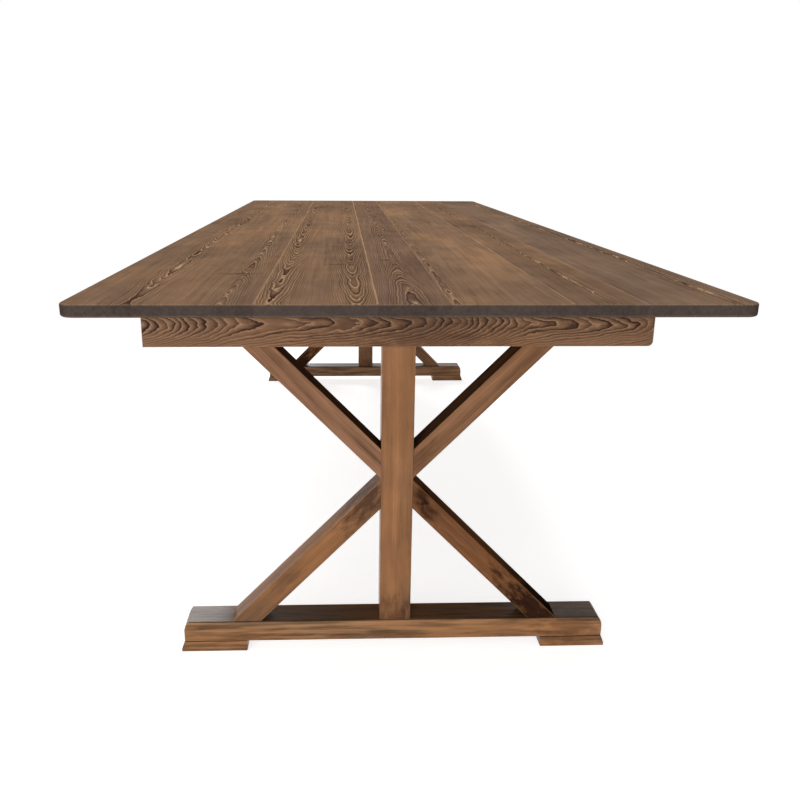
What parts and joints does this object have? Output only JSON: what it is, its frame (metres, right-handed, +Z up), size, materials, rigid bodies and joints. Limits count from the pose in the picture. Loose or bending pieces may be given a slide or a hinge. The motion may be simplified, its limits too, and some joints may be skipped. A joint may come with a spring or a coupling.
{
  "type": "folding dining table",
  "caption": "Long plank-topped wooden dining table on X-braced trestles with centre posts that fold in under the top and are held by slide bolts.",
  "frame": {"origin": "centre of the table's plan, on the floor", "axes": "+Z up, +Y along the table from the near end in the picture to the far end, +X to the right across it"},
  "size_m": [1.016, 2.743, 0.762],
  "materials": {
    "plank_top": "brushed pine, grey-brown stain, satin lacquer",
    "apron_wood": "brushed pine, brown stain, satin lacquer",
    "trestle_wood": "pine, warm brown stain, satin lacquer",
    "batten_wood": "plain pine, thin brown stain",
    "zinc_steel": "zinc-plated steel, satin"
  },
  "bodies": {
    "table_top": {"top_plank_1": "plank_top", "top_plank_2": "plank_top", "top_plank_3": "plank_top", "top_plank_4": "plank_top", "top_plank_5": "plank_top", "top_plank_6": "plank_top", "top_plank_7": "plank_top", "end_apron_front": "apron_wood", "end_apron_rear": "apron_wood", "side_rail_left": "apron_wood", "side_rail_right": "apron_wood", "hinge_cleat_front": "batten_wood", "hinge_cleat_rear": "batten_wood", "cross_batten_1": "batten_wood", "cross_batten_2": "batten_wood", "cross_batten_3": "batten_wood", "front_lock_block_left": "batten_wood", "front_lock_block_right": "batten_wood", "rear_lock_block_left": "batten_wood", "rear_lock_block_right": "batten_wood", "front_hinge_fixed_leaf_left": "zinc_steel", "front_hinge_fixed_leaf_right": "zinc_steel", "rear_hinge_fixed_leaf_left": "zinc_steel", "rear_hinge_fixed_leaf_right": "zinc_steel", "hinge_pins": "zinc_steel", "top_screws": "zinc_steel", "frame_screws": "zinc_steel"},
    "front_trestle": {"front_head_rail": "trestle_wood", "front_post": "trestle_wood", "front_foot_beam": "trestle_wood", "front_brace_upper_left": "trestle_wood", "front_brace_upper_right": "trestle_wood", "front_brace_lower_left": "trestle_wood", "front_brace_lower_right": "trestle_wood", "front_foot_pad_left": "trestle_wood", "front_foot_pad_right": "trestle_wood", "front_hinge_moving_leaf_left": "zinc_steel", "front_hinge_moving_leaf_right": "zinc_steel", "front_bolt_plate_left": "zinc_steel", "front_bolt_plate_right": "zinc_steel", "front_trestle_screws": "zinc_steel"},
    "rear_trestle": {"rear_head_rail": "trestle_wood", "rear_post": "trestle_wood", "rear_foot_beam": "trestle_wood", "rear_brace_upper_left": "trestle_wood", "rear_brace_upper_right": "trestle_wood", "rear_brace_lower_left": "trestle_wood", "rear_brace_lower_right": "trestle_wood", "rear_foot_pad_left": "trestle_wood", "rear_foot_pad_right": "trestle_wood", "rear_hinge_moving_leaf_left": "zinc_steel", "rear_hinge_moving_leaf_right": "zinc_steel", "rear_bolt_plate_left": "zinc_steel", "rear_bolt_plate_right": "zinc_steel", "rear_trestle_screws": "zinc_steel"},
    "front_bolt_left": {"front_bolt_left": "zinc_steel"},
    "front_bolt_right": {"front_bolt_right": "zinc_steel"},
    "rear_bolt_left": {"rear_bolt_left": "zinc_steel"},
    "rear_bolt_right": {"rear_bolt_right": "zinc_steel"}
  },
  "joints": [
    {"name": "front_fold", "type": "hinge", "parent": "table_top", "child": "front_trestle", "pos_m": [0, -0.9977, 0.71], "axis": [1, 0, 0], "range_deg": [0, 90]},
    {"name": "rear_fold", "type": "hinge", "parent": "table_top", "child": "rear_trestle", "pos_m": [0, 0.9977, 0.71], "axis": [-1, 0, 0], "range_deg": [0, 90]},
    {"name": "front_bolt_left_slide", "type": "slide", "parent": "front_trestle", "child": "front_bolt_left", "axis": [-1, 0, 0], "range_m": [0, 0.015]},
    {"name": "front_bolt_right_slide", "type": "slide", "parent": "front_trestle", "child": "front_bolt_right", "axis": [1, 0, 0], "range_m": [0, 0.015]},
    {"name": "rear_bolt_left_slide", "type": "slide", "parent": "rear_trestle", "child": "rear_bolt_left", "axis": [-1, 0, 0], "range_m": [0, 0.015]},
    {"name": "rear_bolt_right_slide", "type": "slide", "parent": "rear_trestle", "child": "rear_bolt_right", "axis": [1, 0, 0], "range_m": [0, 0.015]}
  ]
}
